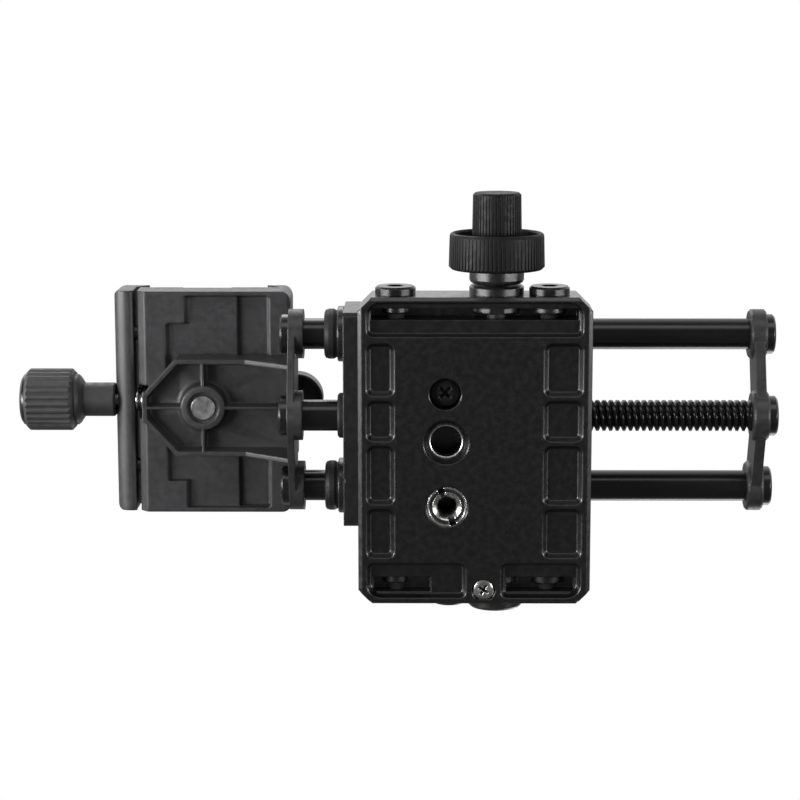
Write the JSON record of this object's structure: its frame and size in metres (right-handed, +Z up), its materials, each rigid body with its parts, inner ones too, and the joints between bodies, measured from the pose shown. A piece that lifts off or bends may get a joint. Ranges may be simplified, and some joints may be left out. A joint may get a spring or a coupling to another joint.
{
  "type": "macro focusing rail",
  "caption": "Geared macro focusing rail: a tripod-mounted carriage with coarse and fine knobs drives parallel rods that carry a quick-release screw clamp.",
  "frame": {"origin": "on the carriage's flat underside, midway between the two guide rods and midway along the base casting", "axes": "+X along the rods towards the free end plate, the clamp is at -X; the focus knobs are on the -Y side; +Z up from the tripod face towards the camera clamp"},
  "size_m": [0.1977, 0.1059, 0.0514],
  "materials": {
    "carriage_casting": "semi-gloss black powder coat on a die casting",
    "housing_casting": "semi-gloss black powder coat",
    "bracket_casting": "satin black powder coat",
    "clamp_anodised": "black anodised, fine blasted",
    "rod_black": "black anodised and polished",
    "black_trim": "black anodised, turned",
    "screw_black": "black oxide",
    "knob_rubber": "ribbed black rubber",
    "clamp_knob_grip": "ribbed matte black",
    "seal_rubber": "soft black rubber",
    "insert_steel": "bright stainless steel",
    "bolt_steel": "machined steel",
    "spring_steel": "bright spring steel",
    "bush_brass": "turned brass",
    "vial": "clear acrylic with green fluid"
  },
  "bodies": {
    "carriage": {"carriage_base": "carriage_casting", "rod_housing": "housing_casting", "bearing_plate": "housing_casting", "guide_bushes": "bush_brass", "rack_bush": "bush_brass", "wiper_seals": "seal_rubber", "seal_flanges": "black_trim", "rack_seal": "seal_rubber", "thread_insert": "insert_steel", "reducer_bush": "insert_steel", "base_screw": "screw_black", "lock_screw": "insert_steel", "housing_screws": "screw_black", "cross_bolts": "screw_black", "knob_collar": "black_trim", "shaft_bushes": "bush_brass", "rear_cap": "black_trim", "side_plug": "black_trim"},
    "rail": {"guide_rod_front": "rod_black", "guide_rod_rear": "rod_black", "rack_rod": "rod_black", "clamp_bracket": "bracket_casting", "end_plate": "bracket_casting", "bracket_rod_bolts": "screw_black", "end_rod_bolts": "screw_black", "clamp_body": "clamp_anodised", "clamp_bolt": "bolt_steel", "clamp_nut": "bush_brass", "level_vial": "vial", "jaw_spring": "spring_steel"},
    "jaw": {"movable_jaw": "clamp_anodised", "jaw_pins": "bolt_steel"},
    "clamp_knob": {"clamp_screw": "bolt_steel", "knob_neck": "clamp_knob_grip", "clamp_knob": "clamp_knob_grip", "clamp_knob_cap": "black_trim"},
    "coarse_knob": {"pinion_shaft": "bolt_steel", "shaft_clip": "spring_steel", "reduction_balls": "spring_steel", "coarse_hub": "black_trim", "coarse_knob": "knob_rubber"},
    "fine_knob": {"fine_shaft": "bolt_steel", "fine_knob": "knob_rubber"}
  },
  "joints": [
    {"name": "rail_slide", "type": "slide", "parent": "carriage", "child": "rail", "axis": [1, 0, 0], "range_m": [-0.0395, 0.005]},
    {"name": "coarse_turn", "type": "hinge", "parent": "carriage", "child": "coarse_knob", "pos_m": [0.0055, -0.04, 0.00825], "axis": [0, 1, 0], "range_deg": [-700, 90]},
    {"name": "fine_turn", "type": "hinge", "parent": "carriage", "child": "fine_knob", "pos_m": [0.0055, -0.05, 0.00825], "axis": [0, 1, 0], "range_deg": [-4190, 532]},
    {"name": "jaw_slide", "type": "slide", "parent": "rail", "child": "jaw", "axis": [-1, 0, 0], "range_m": [-0.001, 0.004], "deforming": ["jaw_spring"]},
    {"name": "clamp_knob_turn", "type": "hinge", "parent": "jaw", "child": "clamp_knob", "pos_m": [-0.1, 0, 0.0387], "axis": [-1, 0, 0], "range_deg": [-361, 1441]}
  ],
  "couplings": [
    {"joint": "coarse_turn", "follows": "rail_slide", "rad_per_m": 308},
    {"joint": "fine_turn", "follows": "rail_slide", "rad_per_m": 1848},
    {"joint": "clamp_knob_turn", "follows": "jaw_slide", "rad_per_m": 6283.2}
  ]
}
